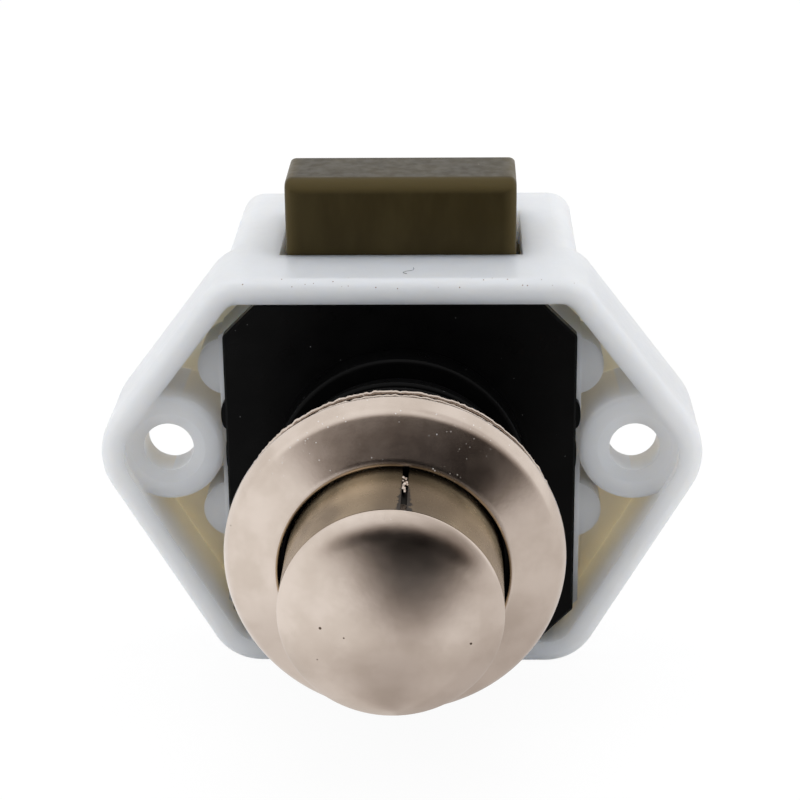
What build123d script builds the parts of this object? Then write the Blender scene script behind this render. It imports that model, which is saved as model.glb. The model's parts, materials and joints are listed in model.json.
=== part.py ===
from build123d import *
from math import atan2, cos, degrees, dist, pi, radians, sin, sqrt
import os

# Push button cabinet lock, in millimetres. The knob moves along Y and points to -Y, the bolt
# points to +Z. Y = 0 is the face that lies on the inside of the door, and the neck's axis is Y.

# Housing: a six-sided flange with a deeper block behind it
top_height = 16.4              # neck axis up to the top face
bottom_depth = 18.1            # neck axis down to the bottom face
flange_half_width = 14.8       # neck axis to the sharp corner of the top and bottom faces
ear_corner_reach = 26.16       # neck axis to the sharp corner of an ear
ear_tip_radius = 5.6
top_corner_radius = 3.5
bottom_corner_radius = 4.5
flange_depth = 9.4
rim_wall = 2.0
rim_edge_radius = 0.9
pocket_depth = 6.5
block_half_width = 15.0
block_depth = 28.1
block_edge_radius = 2.0
back_wall = 2.0
cavity_half_width = 13.0
cavity_corner_cut = 3.65
cut_overrun = 5.0              # how far a cutting tool runs past the face that it opens

# Screw ears
screw_spacing = 38.86
screw_height = 1.5             # above the neck axis
screw_hole_radius = 2.1
screw_land = 3.3               # length of the plain screw hole
boss_radius = 4.6
boss_foot_radius = 5.2
boss_sink = 0.9                # boss face behind the door face
boss_edge_radius = 0.45
dish_radius = 3.1
dish_depth = 0.3
head_recess_radius = 4.2

# Half-round posts that stiffen the cavity wall inside the pockets
post_radius = 2.5
post_side = 14.3
upper_post_height = 8.4
lower_post_drop = 4.5
post_sink = 2.0

# Cover plate
plate_half_width = 14.5
plate_sink = 0.4
plate_thickness = 1.2
plate_corner_cut = 2.85
plate_corner_radius = 0.4
plate_edge_bevel = 0.2
plate_gap = 0.08              # plate edge to the rim, top and bottom
seat_margin = 0.45             # the wall under the plate stands out this far
lug_reach = 0.4
lug_length = 2.35
lug_thickness = 0.8
lug_height = 4.5
low_lug_height = 1.05
low_lug_reach = 0.1

# Collar and threaded neck
collar_step = 0.86             # the collar stands out this far from the thread
collar_height = 2.3            # stands this far into the hole in the door
collar_edge_radius = 0.35
neck_wall = 1.25
thread_depth = 0.7
neck_relief = 1.2
neck_sink = 1.9                # the neck ends this far behind the rosette's lip
neck_end_chamfer = 0.5

# Rosette
door_thickness = 15.0
rosette_overhang = 0.6         # the bead stands out this far from the skirt
rosette_bead = 0.7             # straight part of the edge, behind the rounding
rosette_edge_round = 0.7
rosette_crown = 0.28
rosette_rise = 3.7             # the lip stands this far ahead of the edge
lip_gap = 0.46                 # knob to the lip
lip_flat = 0.35
rosette_sheet = 0.45
fold_gap = 1.25                # neck to the edge of the folded skirt
skirt_height = 0.9
skirt_return = 1.1
ring_gap = 0.06
ring_step = 0.14               # the ring's front edge behind the lip
thread_gap = 0.06
ring_land_gap = 0.12

# Knob head and its rolled sleeve
knob_radius = 8.2
knob_rise = 6.7                # the head's back edge stands this far ahead of the lip
shoulder_rise = 0.9
shoulder_inset = 0.65
dome_height = 1.3
cap_sheet = 0.4
cap_edge_radius = 0.12
plug_length = 1.8
sleeve_sheet = 0.3
sleeve_length = 10.5
seam_gap = 0.45
seam_angle = 7.0               # degrees from the top, towards +X
knob_travel = 8.0

# Knob core, plunger and its screw
piece_gap = 0.05               # between pieces that are fixed to each other
bore_gap = 0.15                # sleeve in the neck
guide_gap = 0.1                # core and plunger in their guides
guide_step = 0.65
end_room = 0.5                 # left behind the core and the sleeve when the knob is fully in
guide_wall = 1.3
screw_wall = 1.25              # between the screw's head and the spring
core_boss_gap = 0.23           # to the spring round it
core_boss_wall = 0.75
core_boss_length = 3.6
plunger_tail = 6.9             # how far the tail reaches behind the door face
plunger_flat_cut = 0.9
plunger_flat_length = 16.0
tail_chamfer = 0.5
screw_radius = 1.25
screw_length = 9.5
screw_head_radius = 2.6
screw_head_height = 1.3
screw_head_room = 2.1
screw_tip_length = 1.2
screw_slot_width = 0.7
screw_slot_depth = 0.6

# Stop pin and plunger spring
stop_pin_radius = 0.75
stop_pin_stub = 0.9            # stands out this far on each side
stop_pin_round = 0.2
spring_gap = 0.05              # a spring's end to its seat
washer_thickness = 0.5
washer_gap = 0.2
washer_hole_gap = 0.5
plunger_wire_radius = 0.4
plunger_spring_gap = 0.52      # to the core round it
plunger_coils = 8

# Latch wire and the leaf that lifts it into the track
latch_wire_radius = 0.35
latch_wire_depth = 4.8
latch_pivot_rise = 4.1         # above the housing's floor
latch_swing = 8.0              # degrees
latch_bend_radius = 0.9
latch_boss_radius = 1.7
latch_boss_length = 1.6
latch_seat_depth = 1.2
track_width = 1.1
track_depth = 1.0
track_floor_gap = 0.25
notch_back = 0.9               # the locked place lies this far short of full travel
leaf_sheet = 0.3
leaf_width = 3.0
leaf_length = 3.4
leaf_foot_depth = 2.2
leaf_tip_depth = 5.3
leaf_bend_radius = 0.7

# Bolt
bolt_half_width = 9.65
slot_side_gap = 0.55
slot_front_gap = 0.15
slot_back_gap = 0.3
bolt_face_depth = 7.3
bolt_top_length = 7.3
bolt_depth = 12.9
bolt_projection = 6.4
bolt_travel = 6.2
bevel_foot = 0.2               # the slam bevel ends this far above the housing
bolt_front_round = 1.1
bolt_side_round = 0.6
bolt_slide_gap = 0.15
bolt_floor_gap = 1.4
window_side_gap = 0.4
window_gap = 0.6
window_corner_radius = 1.2

# Bolt springs on their pins
window_wall = 0.75             # between the window and a spring
bolt_spring_room_radius = 1.95
bolt_spring_top = 3.0
bolt_coil_radius = 1.42
bolt_wire_radius = 0.24
bolt_coils = 9
pin_radius = 0.9
pin_height = 5.5
pin_root = 1.2
pin_fit = 0.02
pin_end_round = 0.3

# Guide ribs
front_rib_side = 11.4
front_rib_thickness = 1.4
front_rib_length = 16.0
back_rib_side = 8.6
back_rib_thickness = 1.6

# Places that several pieces share
cavity_top = top_height - rim_wall
cavity_bottom = bottom_depth - rim_wall
plate_back = plate_sink + plate_thickness
bolt_back = bolt_face_depth + bolt_depth
bolt_middle = bolt_face_depth + bolt_depth / 2
bolt_bottom = cavity_bottom - bolt_travel - bolt_floor_gap
rosette_back_reach = door_thickness
rosette_edge_reach = rosette_back_reach + skirt_height + rosette_bead
lip_reach = rosette_edge_reach + rosette_rise
neck_reach = lip_reach - neck_sink
knob_edge_reach = lip_reach + knob_rise
sleeve_back_reach = knob_edge_reach - sleeve_length
sleeve_bore_depth = sleeve_back_reach - knob_travel - end_room
core_radius = knob_radius - sleeve_sheet - piece_gap
guide_radius = core_radius - guide_step
spring_room_radius = guide_radius - guide_wall
plunger_coil_radius = spring_room_radius - plunger_spring_gap - plunger_wire_radius
washer_radius = spring_room_radius - washer_gap
core_boss_radius = plunger_coil_radius - plunger_wire_radius - core_boss_gap
plunger_radius = core_boss_radius - core_boss_wall
plunger_flat_drop = plunger_radius - plunger_flat_cut
washer_hole_radius = plunger_radius + washer_hole_gap
stop_pin_length = 2 * (plunger_radius + stop_pin_stub)
window_half_width = stop_pin_length / 2 + window_side_gap
bolt_spring_side = window_half_width + window_wall + bolt_spring_room_radius
neck_radius = knob_radius + bore_gap + neck_wall
neck_root_radius = neck_radius - thread_depth
collar_radius = neck_radius + collar_step
lip_radius = knob_radius + lip_gap
ring_front_radius = lip_radius + ring_step
skirt_radius = neck_radius + fold_gap + skirt_return + rosette_sheet
rosette_radius = skirt_radius + rosette_overhang
core_front_reach = knob_edge_reach - piece_gap
screw_seat_reach = core_front_reach - screw_head_room
spring_room_reach = screw_seat_reach - screw_wall
guide_end_reach = knob_travel + washer_thickness + end_room
stop_pin_depth = plate_back + stop_pin_radius + piece_gap
latch_pivot_drop = cavity_bottom - latch_pivot_rise
latch_tip_drop = plunger_flat_drop - track_depth + track_floor_gap
swing_reach = (latch_pivot_drop - latch_tip_drop) * sin(radians(latch_swing))


def prism(outline, front, back):
    """An outline drawn in X and Z, carried from one depth to another."""
    return extrude(Plane.XZ.offset(-front) * outline, back - front, dir=(0, 1, 0))


def round_bar(radius, front, back, side=0, height=0):
    """A cylinder along Y."""
    bar = Cylinder(radius, back - front, align=(Align.CENTER, Align.CENTER, Align.MIN))
    return Pos(side, front, height) * Rot(-90, 0, 0) * bar


def block(x_range, y_range, z_range):
    """A box given by its lowest and highest corners."""
    sizes = [high - low for low, high in (x_range, y_range, z_range)]
    return Pos(x_range[0], y_range[0], z_range[0]) * Box(*sizes, align=Align.MIN)


def turned(*edges):
    """A profile drawn as radius and depth, turned about the neck's axis."""
    return revolve(make_face(list(edges)), Axis.Y)


def turned_polygon(*points):
    """A straight-sided profile of radius and depth, turned about the neck's axis."""
    return revolve(Polygon(*points, align=None), Axis.Y)


def both_sides(piece):
    """A piece and its mirror image across the middle plane."""
    return piece + mirror(piece, Plane.YZ)


def flange_outline():
    """The six-sided outline with its rounded corners."""
    side = [
        (flange_half_width, top_height),
        (ear_corner_reach, screw_height),
        (flange_half_width, -bottom_depth),
    ]
    other_side = [(-x, z) for x, z in reversed(side)]
    outline = Polygon(*side, *other_side, align=None)
    ears = outline.vertices().filter_by(lambda v: abs(v.X) > block_half_width)
    outline = fillet(ears, ear_tip_radius)
    top_corners = outline.vertices().filter_by(lambda v: v.Y > top_height - piece_gap)
    outline = fillet(top_corners, top_corner_radius)
    low_corners = outline.vertices().filter_by(lambda v: v.Y < piece_gap - bottom_depth)
    return fillet(low_corners, bottom_corner_radius)


def cut_corner_outline(half_width, bottom, top, cut):
    """An upright rectangle with its four corners cut at 45 degrees."""
    side = [
        (half_width - cut, top),
        (half_width, top - cut),
        (half_width, cut - bottom),
        (half_width - cut, -bottom),
    ]
    other_side = [(-x, z) for x, z in reversed(side)]
    return Polygon(*side, *other_side, align=None)


def plate_outline():
    """The outline of the cover plate."""
    bottom = cavity_bottom - plate_gap
    return cut_corner_outline(plate_half_width, bottom, cavity_top - plate_gap, plate_corner_cut)


def screw_boss(side):
    """The drafted boss round one screw hole, with the edge of its face rounded."""
    height = pocket_depth - boss_sink
    cone = Cone(boss_radius, boss_foot_radius, height, align=(Align.CENTER, Align.CENTER, Align.MIN))
    cone = fillet(cone.edges().sort_by(Axis.Z)[0], boss_edge_radius)
    return Pos(side, boss_sink, screw_height) * Rot(-90, 0, 0) * cone


def screw_cuts(side):
    """The dish, the screw hole and the recess for the screw's head behind it."""
    dish_floor = boss_sink + dish_depth
    land_end = dish_floor + screw_land
    upright = (Align.CENTER, Align.CENTER, Align.MIN)
    dish = Cone(dish_radius, screw_hole_radius, dish_depth, align=upright)
    cuts = Pos(side, boss_sink, screw_height) * Rot(-90, 0, 0) * dish
    cuts += round_bar(screw_hole_radius, boss_sink, flange_depth, side, screw_height)
    return cuts + round_bar(head_recess_radius, land_end, flange_depth + cut_overrun, side, screw_height)


def housing_shell():
    """Flange, pockets, cavity wall, bosses and posts, before the openings are cut."""
    outline = flange_outline()
    flange = prism(outline, 0, flange_depth)
    flange = fillet(flange.faces().sort_by(Axis.Y)[0].edges(), rim_edge_radius)
    flange -= prism(offset(outline, -rim_wall), -cut_overrun, pocket_depth)
    middle = (top_height - bottom_depth) / 2
    back_outline = RectangleRounded(2 * block_half_width, top_height + bottom_depth, block_edge_radius)
    rear = prism(Pos(0, middle) * back_outline, flange_depth, block_depth)
    rear = fillet(rear.faces().sort_by(Axis.Y)[-1].edges(), block_edge_radius)
    wall_outline = cut_corner_outline(
        plate_half_width + seat_margin, cavity_bottom, cavity_top, plate_corner_cut + seat_margin
    )
    posts = Pos(post_side, upper_post_height) * Circle(post_radius)
    posts += Pos(post_side, -lower_post_drop) * Circle(post_radius)
    shell = flange + rear + prism(wall_outline, plate_back, pocket_depth)
    shell += both_sides(prism(posts, post_sink, pocket_depth))
    return shell + both_sides(screw_boss(screw_spacing / 2))


def housing():
    """The white moulded body that is screwed to the inside of the door."""
    body = housing_shell()
    cavity = cut_corner_outline(cavity_half_width, cavity_bottom, cavity_top, cavity_corner_cut)
    body -= prism(cavity, -cut_overrun, block_depth - back_wall)
    slot_half_width = bolt_half_width + slot_side_gap
    body -= block(
        (-slot_half_width, slot_half_width),
        (bolt_face_depth - slot_front_gap, bolt_back + slot_back_gap),
        (cavity_top - cavity_corner_cut, top_height + cut_overrun),
    )
    body -= both_sides(screw_cuts(screw_spacing / 2))
    rib = block(
        (back_rib_side, back_rib_side + back_rib_thickness),
        (bolt_back + bolt_slide_gap, block_depth - back_wall),
        (-cavity_bottom, cavity_top),
    )
    body += both_sides(rib)
    pin_hole = Cylinder(pin_radius + pin_fit, pin_root, align=(Align.CENTER, Align.CENTER, Align.MAX))
    return body - both_sides(Pos(bolt_spring_side, bolt_middle, -cavity_bottom) * pin_hole)


def neck():
    """Collar and threaded tube, as a solid turning with its relief at the root."""
    thread_start = collar_height + neck_relief
    return turned_polygon(
        (0, plate_back),
        (collar_radius, plate_back),
        (collar_radius, -collar_height),
        (neck_root_radius, -collar_height),
        (neck_root_radius, -thread_start),
        (neck_radius, neck_root_radius - neck_radius - thread_start),
        (neck_radius, neck_end_chamfer - neck_reach),
        (neck_radius - neck_end_chamfer, -neck_reach),
        (0, -neck_reach),
    )


def plunger_section(gap):
    """The plunger's round section with the flat under it, wider by a gap."""
    radius = plunger_radius + gap
    section = Circle(radius)
    flat = Pos(0, -plunger_flat_drop - gap) * Rectangle(2 * radius, radius, align=(Align.CENTER, Align.MAX))
    return section - flat


def snap_lugs():
    """Rounded nubs on the plate's edges that hold it in the housing."""
    lugs = Part()
    for height, reach in ((lug_height, lug_reach), (low_lug_height, low_lug_reach)):
        nub = Pos(plate_half_width, height) * Ellipse(reach, lug_length / 2)
        lugs += prism(nub, plate_back - lug_thickness, plate_back)
    return lugs


def cover_plate():
    """The black cover with its collar and neck, its bolt guides and the latch wire's boss."""
    outline = plate_outline()
    outline = fillet(outline.vertices(), plate_corner_radius)
    sheet = prism(outline, plate_sink, plate_back)
    sheet = chamfer(sheet.faces().sort_by(Axis.Y)[0].edges(), plate_edge_bevel)
    plate = sheet + neck()
    collar_edge = plate.edges().filter_by(GeomType.CIRCLE).filter_by(
        lambda e: abs(e.radius - collar_radius) < piece_gap and e.center().Y < -piece_gap
    )
    plate = fillet(collar_edge, collar_edge_radius)
    plate -= round_bar(knob_radius + bore_gap, -neck_reach - cut_overrun, -sleeve_bore_depth)
    plate -= round_bar(guide_radius + guide_gap, -sleeve_bore_depth, 0)
    plate -= prism(plunger_section(guide_gap), -cut_overrun, cut_overrun)
    rib = block(
        (front_rib_side - front_rib_thickness / 2, front_rib_side + front_rib_thickness / 2),
        (plate_back, bolt_face_depth - bolt_slide_gap),
        (-front_rib_length / 2, front_rib_length / 2),
    )
    plate += both_sides(rib + snap_lugs())
    boss_end = plate_back + latch_boss_length
    plate += round_bar(latch_boss_radius, plate_back, boss_end, height=-latch_pivot_drop)
    seat = round_bar(
        latch_wire_radius + guide_gap, boss_end - latch_seat_depth, boss_end, height=-latch_pivot_drop
    )
    return plate - seat


def rosette_face(inset):
    """The dished front of the rosette, from its lip to its edge, moved in by an inset."""
    edge_radius = rosette_radius - inset
    start = (lip_radius + lip_flat, inset - lip_reach)
    shoulder = (edge_radius - rosette_edge_round, inset - rosette_edge_reach - rosette_edge_round)
    turn_share = sqrt(2) / 2
    edge = (edge_radius, inset - rosette_edge_reach)
    chord = dist(start, shoulder)
    across = (shoulder[0] - start[0]) / chord
    along = (shoulder[1] - start[1]) / chord
    crown = (
        (start[0] + shoulder[0]) / 2 + rosette_crown * along,
        (start[1] + shoulder[1]) / 2 - rosette_crown * across,
    )
    round_middle = (
        edge_radius - rosette_edge_round * (1 - turn_share),
        shoulder[1] + rosette_edge_round * (1 - turn_share),
    )
    return start, edge, [ThreePointArc(start, crown, shoulder), ThreePointArc(shoulder, round_middle, edge)]


def rosette_bell(inset, hole_radius, back_reach):
    """The rosette's outer form, moved in by an inset, with a straight hole through it."""
    start, edge, face = rosette_face(inset)
    bead_back = rosette_bead - rosette_edge_reach
    skirt = skirt_radius - inset
    outline = Polyline(
        edge,
        (edge[0], bead_back - inset),
        (skirt, bead_back - inset),
        (skirt, -back_reach),
        (hole_radius, -back_reach),
        (hole_radius, start[1]),
        start,
    )
    return turned(*face, *outline.edges())


def rosette_shell():
    """The pressed nickel shell, folded in behind the ring that it covers."""
    shell = rosette_bell(0, lip_radius, rosette_back_reach)
    inner_back = rosette_back_reach + rosette_sheet
    shell -= rosette_bell(rosette_sheet, lip_radius - rosette_sheet, inner_back)
    fold_radius = skirt_radius - rosette_sheet - skirt_return
    shell -= round_bar(fold_radius, -inner_back - piece_gap, -rosette_back_reach + cut_overrun)
    lip_edges = shell.edges().filter_by(GeomType.CIRCLE).filter_by(
        lambda e: abs(e.radius - lip_radius) < piece_gap
    )
    return fillet(lip_edges, rosette_sheet / 3)


def rosette_ring():
    """The black threaded ring inside the shell, which screws onto the neck."""
    inset = rosette_sheet + ring_gap
    back_reach = rosette_back_reach + rosette_sheet + ring_gap
    ring = rosette_bell(inset, ring_front_radius, back_reach)
    thread_front = neck_reach + ring_land_gap
    return ring - round_bar(neck_radius + thread_gap, -thread_front, -rosette_back_reach + cut_overrun)


def knob_cap():
    """The pressed knob head: a shallow dome, a shoulder and a plug that fits the sleeve."""
    edge = -knob_edge_reach
    crease = (knob_radius - shoulder_inset, edge - shoulder_rise)
    top = (0, crease[1] - dome_height)
    rim = (knob_radius, edge - cap_edge_radius)
    corner = (knob_radius - cap_edge_radius, edge)
    shoulder_middle = (
        (rim[0] + crease[0]) / 2 + cap_edge_radius,
        (rim[1] + crease[1]) / 2 - cap_edge_radius,
    )
    dome_radius = (crease[0] ** 2 + dome_height ** 2) / (2 * dome_height)
    half_angle = atan2(crease[0], dome_radius - dome_height) / 2
    dome_middle = (dome_radius * sin(half_angle), top[1] + dome_radius * (1 - cos(half_angle)))
    plug_radius = knob_radius - sleeve_sheet - piece_gap
    plug_bore = plug_radius - cap_sheet
    bore_crease = (plug_bore - shoulder_inset, edge)
    inner_radius = dome_radius - cap_sheet
    inner_drop = inner_radius - sqrt(inner_radius ** 2 - bore_crease[0] ** 2)
    inner_top = (0, top[1] + cap_sheet)
    inner_foot = (bore_crease[0], inner_top[1] + inner_drop)
    middle_radius = bore_crease[0] / 2
    middle_drop = inner_radius - sqrt(inner_radius ** 2 - middle_radius ** 2)
    inner_middle = (middle_radius, inner_top[1] + middle_drop)
    return turned(
        ThreePointArc(rim, shoulder_middle, crease),
        ThreePointArc(crease, dome_middle, top),
        Line(top, inner_top),
        ThreePointArc(inner_top, inner_middle, inner_foot),
        Line(inner_foot, (plug_bore, edge)),
        Line((plug_bore, edge), (plug_bore, edge + plug_length)),
        Line((plug_bore, edge + plug_length), (plug_radius, edge + plug_length)),
        Line((plug_radius, edge + plug_length), (plug_radius, edge)),
        Line((plug_radius, edge), corner),
        Line(corner, rim),
    )


def knob_sleeve():
    """The sheet sleeve behind the head, rolled to a tube with an open seam."""
    tube = round_bar(knob_radius, -knob_edge_reach + piece_gap, -sleeve_back_reach)
    bore_radius = knob_radius - sleeve_sheet
    tube -= round_bar(bore_radius, -knob_edge_reach - cut_overrun, -sleeve_back_reach + cut_overrun)
    seam = block(
        (-seam_gap / 2, seam_gap / 2),
        (-knob_edge_reach, -sleeve_back_reach + cut_overrun),
        (0, knob_radius + cut_overrun),
    )
    return tube - Rot(0, seam_angle, 0) * seam


def knob_core():
    """The black core that carries the sleeve, holds the plunger and houses its spring."""
    plug_end = knob_edge_reach - plug_length - piece_gap
    front_radius = core_radius - cap_sheet - piece_gap
    core = round_bar(front_radius, -core_front_reach, -plug_end)
    core += round_bar(core_radius, -plug_end, -sleeve_back_reach)
    core += round_bar(guide_radius, -sleeve_back_reach, -guide_end_reach)
    core -= round_bar(spring_room_radius, -spring_room_reach, -guide_end_reach + cut_overrun)
    boss_end = spring_room_reach - core_boss_length
    core += round_bar(core_boss_radius, -spring_room_reach, -boss_end)
    core -= round_bar(plunger_radius + piece_gap, -spring_room_reach, -boss_end + cut_overrun)
    core -= round_bar(screw_head_radius + guide_gap, -core_front_reach, -screw_seat_reach)
    return core - round_bar(screw_radius + guide_gap, -core_front_reach, -spring_room_reach)


def knob_screw():
    """The screw that holds the plunger to the core, under the head."""
    head_front = -screw_seat_reach - screw_head_height
    tip = screw_length - screw_seat_reach
    screw = turned_polygon(
        (0, head_front),
        (screw_head_radius, head_front),
        (screw_head_radius, -screw_seat_reach),
        (screw_radius, -screw_seat_reach),
        (screw_radius, tip - screw_tip_length),
        (screw_slot_width / 2, tip),
        (0, tip),
    )
    across = (-screw_slot_width / 2, screw_slot_width / 2)
    deep = (head_front - cut_overrun, head_front + screw_slot_depth)
    along = (-2 * screw_radius, 2 * screw_radius)
    for turn in (0, 90):
        screw -= Rot(0, turn, 0) * block(across, deep, along)
    return screw


def track_leg(start, end):
    """One straight stretch of the track, round at both ends."""
    run = SlotCenterToCenter(dist(start, end), track_width)
    angle = degrees(atan2(end[1] - start[1], end[0] - start[0]))
    return Pos((start[0] + end[0]) / 2, (start[1] + end[1]) / 2) * Rot(0, 0, angle) * run


def latch_track():
    """The heart-shaped track that the latch wire's tip runs round."""
    full_in = latch_wire_depth - knob_travel
    stops = [
        (0, latch_wire_depth),
        (swing_reach, full_in),
        (0, full_in + notch_back),
        (-swing_reach, full_in),
    ]
    track = Sketch()
    for start, end in zip(stops, stops[1:] + stops[:1]):
        track += track_leg(start, end)
    return extrude(Pos(0, 0, -plunger_radius) * track, plunger_radius - plunger_flat_drop + track_depth)


def plunger():
    """The rod that the knob pushes in, with its flat, its track and the hole for the stop pin."""
    rod = round_bar(plunger_radius, piece_gap - spring_room_reach, plunger_tail)
    rod = chamfer(rod.faces().sort_by(Axis.Y)[-1].edges(), tail_chamfer)
    rod -= block(
        (-plunger_radius, plunger_radius),
        (plunger_tail - plunger_flat_length, plunger_tail + cut_overrun),
        (-plunger_radius, -plunger_flat_drop),
    )
    rod -= latch_track()
    pilot_end = screw_length - screw_seat_reach + piece_gap
    rod -= round_bar(screw_radius + piece_gap, -spring_room_reach, pilot_end)
    pin_hole = Rot(0, 90, 0) * Cylinder(stop_pin_radius + pin_fit, 2 * plunger_radius)
    return rod - Pos(0, stop_pin_depth, 0) * pin_hole


def stop_pin():
    """The cross pin that stops the plunger against the back of the cover plate."""
    pin = Cylinder(stop_pin_radius, stop_pin_length)
    pin = fillet(pin.edges().filter_by(GeomType.CIRCLE), stop_pin_round)
    return Pos(0, stop_pin_depth, 0) * Rot(0, 90, 0) * pin


def biarc(start, start_way, end, end_way):
    """Two arcs that join two points and leave and reach them in the given directions."""
    span = end - start
    both = start_way + end_way
    a = 2 * (start_way.dot(end_way) - 1)
    b = -2 * span.dot(both)
    c = span.dot(span)
    reach = (-b - sqrt(b * b - 4 * a * c)) / (2 * a)
    near = start + start_way * reach
    far = end - end_way * reach
    joint = (near + far) / 2
    return [TangentArc(start, joint, tangent=start_way), TangentArc(joint, end, tangent=far - near)]


def least_gap(points, per_turn, wire_radius):
    """The least gap of a coil to its own next turns, measured on points along its wire."""
    return min(
        dist(first, second) for i, first in enumerate(points) for second in points[i + per_turn // 2:]
    ) - 2 * wire_radius


def coil(name, radius, wire_radius, turns, length):
    """A coil spring along Z, as one unbroken tube of half turns."""
    rise = length - 2 * wire_radius
    slope = rise / (2 * pi * radius * turns)
    steps = range(2 * turns + 1)
    corners = [Vector(radius * (-1) ** k, 0, wire_radius + rise * k / (2 * turns)) for k in steps]
    ways = [Vector(0, (-1) ** k, slope).normalized() for k in steps]
    arcs = []
    for k in range(2 * turns):
        arcs += biarc(corners[k], ways[k], corners[k + 1], ways[k + 1])
    per_arc = 6
    points = [tuple(arc @ (i / per_arc)) for arc in arcs for i in range(per_arc)]
    gap = least_gap(points, 4 * per_arc, wire_radius)
    print(f"{name}: {turns} turns, least gap to itself {gap:.2f} mm")
    section = Plane(origin=corners[0], z_dir=ways[0]) * Circle(wire_radius)
    return sweep(section, path=Wire([arc.edge() for arc in arcs]))


def plunger_spring():
    """The spring inside the core that pushes the knob out."""
    length = spring_room_reach - washer_thickness - 2 * spring_gap
    spring = coil("plunger_spring", plunger_coil_radius, plunger_wire_radius, plunger_coils, length)
    return Pos(0, -washer_thickness - spring_gap, 0) * Rot(90, 0, 0) * spring


def spring_washer():
    """The washer between the plunger spring and the web of the neck."""
    washer = round_bar(washer_radius, -washer_thickness, 0)
    return washer - round_bar(washer_hole_radius, -washer_thickness, 0)


def latch_wire():
    """The bent wire whose tip runs in the plunger's track and whose foot turns in the cover's boss."""
    foot = plate_back + latch_boss_length - latch_seat_depth + piece_gap
    route = FilletPolyline(
        (0, foot, -latch_pivot_drop),
        (0, latch_wire_depth, -latch_pivot_drop),
        (0, latch_wire_depth, -latch_tip_drop),
        radius=latch_bend_radius,
    )
    return sweep(Plane(origin=route @ 0, z_dir=route % 0) * Circle(latch_wire_radius), path=route)


def latch_leaf():
    """The bent steel leaf that stands on the housing's floor and lifts the latch wire."""
    tip_height = -latch_pivot_drop - latch_wire_radius - guide_gap - leaf_sheet / 2
    floor = -cavity_bottom + leaf_sheet / 2
    route = FilletPolyline(
        (0, leaf_foot_depth + leaf_length, floor),
        (0, leaf_foot_depth, floor),
        (0, leaf_tip_depth, tip_height),
        radius=leaf_bend_radius,
    )
    section = Plane(origin=route @ 0, z_dir=route % 0, x_dir=(1, 0, 0)) * Rectangle(leaf_width, leaf_sheet)
    return sweep(section, path=route)


def bolt_outline():
    """The bolt seen from the front: the tongue on its wider body, with cut corners."""
    body_half_width = cavity_half_width - bolt_slide_gap
    corner_sum = cavity_half_width + cavity_top - cavity_corner_cut - bolt_slide_gap * sqrt(2)
    low_cut = bolt_travel + bolt_slide_gap * sqrt(2) - cavity_bottom - cavity_half_width + cavity_corner_cut
    side = [
        (bolt_half_width, top_height + bolt_projection),
        (bolt_half_width, corner_sum - bolt_half_width),
        (body_half_width, corner_sum - body_half_width),
        (body_half_width, low_cut + body_half_width),
        (-low_cut - bolt_bottom, -bolt_bottom),
    ]
    other_side = [(-x, z) for x, z in reversed(side)]
    return Polygon(*side, *other_side, align=None)


def slam_bevel():
    """What the slope behind the tongue takes away."""
    top = top_height + bolt_projection
    foot = (bolt_back, top_height + bevel_foot)
    crest = (bolt_face_depth + bolt_top_length, top)
    wedge = Polygon(crest, (bolt_back, top), foot, align=None)
    reach = 2 * (bolt_half_width + cut_overrun)
    return Pos(-reach / 2, 0, 0) * extrude(Plane.YZ * wedge, reach, dir=(1, 0, 0))


def bolt():
    """The sprung latch bolt, with the window that the plunger's tail passes into."""
    body = prism(bolt_outline(), bolt_face_depth, bolt_back) - slam_bevel()
    front_top = body.edges().filter_by(Axis.X).group_by(Axis.Z)[-1].sort_by(Axis.Y)[0]
    body = fillet(front_top, bolt_front_round)
    corners = body.edges().filter_by(Axis.Z).filter_by(
        lambda e: abs(abs(e.center().X) - bolt_half_width) < piece_gap and e.center().Y < bolt_middle
    )
    body = fillet(corners, bolt_side_round)
    window_bottom = plunger_radius + window_gap
    window_top = plunger_radius + bolt_travel + window_gap
    window = RectangleRounded(2 * window_half_width, window_bottom + window_top, window_corner_radius)
    body -= prism(Pos(0, (window_top - window_bottom) / 2) * window, bolt_face_depth, bolt_back)
    room_height = bolt_bottom + bolt_spring_top
    room = Cylinder(bolt_spring_room_radius, room_height, align=(Align.CENTER, Align.CENTER, Align.MIN))
    return body - both_sides(Pos(bolt_spring_side, bolt_middle, -bolt_bottom) * room)


def bolt_spring(side, name):
    """One of the two springs under the bolt."""
    length = cavity_bottom + bolt_spring_top - 2 * spring_gap
    spring = coil(name, bolt_coil_radius, bolt_wire_radius, bolt_coils, length)
    return Pos(side, bolt_middle, -cavity_bottom + spring_gap) * spring


def spring_pin(side):
    """The pin in the housing's floor that keeps a bolt spring upright."""
    pin = Cylinder(pin_radius, pin_root + pin_height, align=(Align.CENTER, Align.CENTER, Align.MIN))
    pin = fillet(pin.edges().sort_by(Axis.Z)[-1], pin_end_round)
    return Pos(side, bolt_middle, piece_gap - cavity_bottom - pin_root) * pin


pieces = {
    "housing": housing(),
    "cover_plate": cover_plate(),
    "rosette_shell": rosette_shell(),
    "rosette_ring": rosette_ring(),
    "knob_cap": knob_cap(),
    "knob_sleeve": knob_sleeve(),
    "knob_core": knob_core(),
    "knob_screw": knob_screw(),
    "plunger": plunger(),
    "stop_pin": stop_pin(),
    "plunger_spring": plunger_spring(),
    "spring_washer": spring_washer(),
    "latch_wire": latch_wire(),
    "latch_leaf": latch_leaf(),
    "bolt": bolt(),
    "bolt_spring_left": bolt_spring(-bolt_spring_side, "bolt_spring_left"),
    "bolt_spring_right": bolt_spring(bolt_spring_side, "bolt_spring_right"),
    "spring_pin_left": spring_pin(-bolt_spring_side),
    "spring_pin_right": spring_pin(bolt_spring_side),
}

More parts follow.
